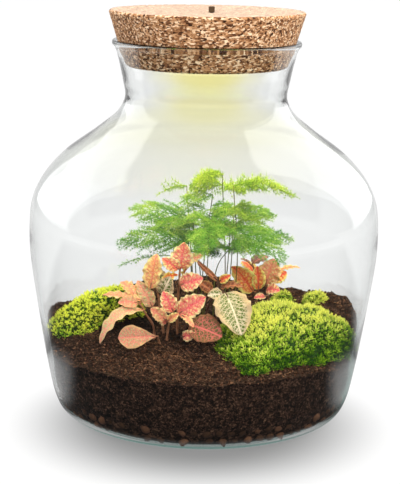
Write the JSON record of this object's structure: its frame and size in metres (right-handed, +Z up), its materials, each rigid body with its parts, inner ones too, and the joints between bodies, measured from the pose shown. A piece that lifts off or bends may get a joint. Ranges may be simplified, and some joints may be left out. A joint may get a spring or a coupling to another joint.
{
  "type": "closed plant terrarium",
  "caption": "Closed round glass jar with a tapered cork stopper that holds a small lamp, planted with fern, fittonia and moss on soil over a pebble layer.",
  "frame": {"origin": "centre of the jar's flat underside", "axes": "+Z up along the jar's axis, -Y towards the side seen in the picture, +X to that side's right"},
  "size_m": [0.25, 0.25, 0.2912],
  "materials": {
    "clear_glass": "clear, polished, faintly green in the thickness",
    "granular_cork": "pressed cork grains, matt",
    "lamp_plastic": "moulded, satin",
    "milky_diffuser": "milky, lets light through",
    "circuit_board": "solder mask, satin",
    "battery_foil": "wrapped foil, satin",
    "dark_stud": "moulded, satin",
    "potting_soil": "crumbly and fibrous, matt",
    "clay_pebble": "fired clay, matt",
    "moss": "soft pile of shoots, matt",
    "fern": "fine green needles, matt",
    "pink_leaf": "soft leaf, half matt",
    "pale_leaf": "soft leaf, half matt",
    "brown_leaf": "soft leaf, half matt"
  },
  "bodies": {
    "root": {"glass_jar": "clear_glass", "cork_stopper": "granular_cork", "lamp_housing": "lamp_plastic", "lamp_diffuser": "milky_diffuser", "lamp_board": "circuit_board", "lamp_battery": "battery_foil", "lamp_touch_stud": "dark_stud", "soil": "potting_soil", "drainage_pebbles": "clay_pebble", "moss_left": "moss", "moss_right": "moss", "moss_tuft_middle": "moss", "moss_tuft_right": "moss", "fittonia_left_arching_stem": "pink_leaf", "fittonia_left_tall_stem": "pink_leaf", "fittonia_left_crown_stem": "pink_leaf", "fittonia_left_middle_stem": "pink_leaf", "fittonia_front_left_stem": "pink_leaf", "fittonia_front_right_stem": "pink_leaf", "fittonia_pale_stem": "pale_leaf", "fittonia_brown_stem": "brown_leaf", "fittonia_right_left_stem": "pink_leaf", "fittonia_right_right_stem": "pink_leaf", "fern_frond_left_low": "fern", "fern_frond_left_high": "fern", "fern_frond_left_back": "fern", "fern_frond_front": "fern", "fern_frond_right_front": "fern", "fern_frond_right_low": "fern", "fern_frond_right_back": "fern", "fern_frond_top_left": "fern", "fern_frond_top_middle": "fern", "fern_frond_top_right": "fern", "fern_sprig_top_left": "fern", "fern_sprig_low_left": "fern"}
  },
  "joints": []
}
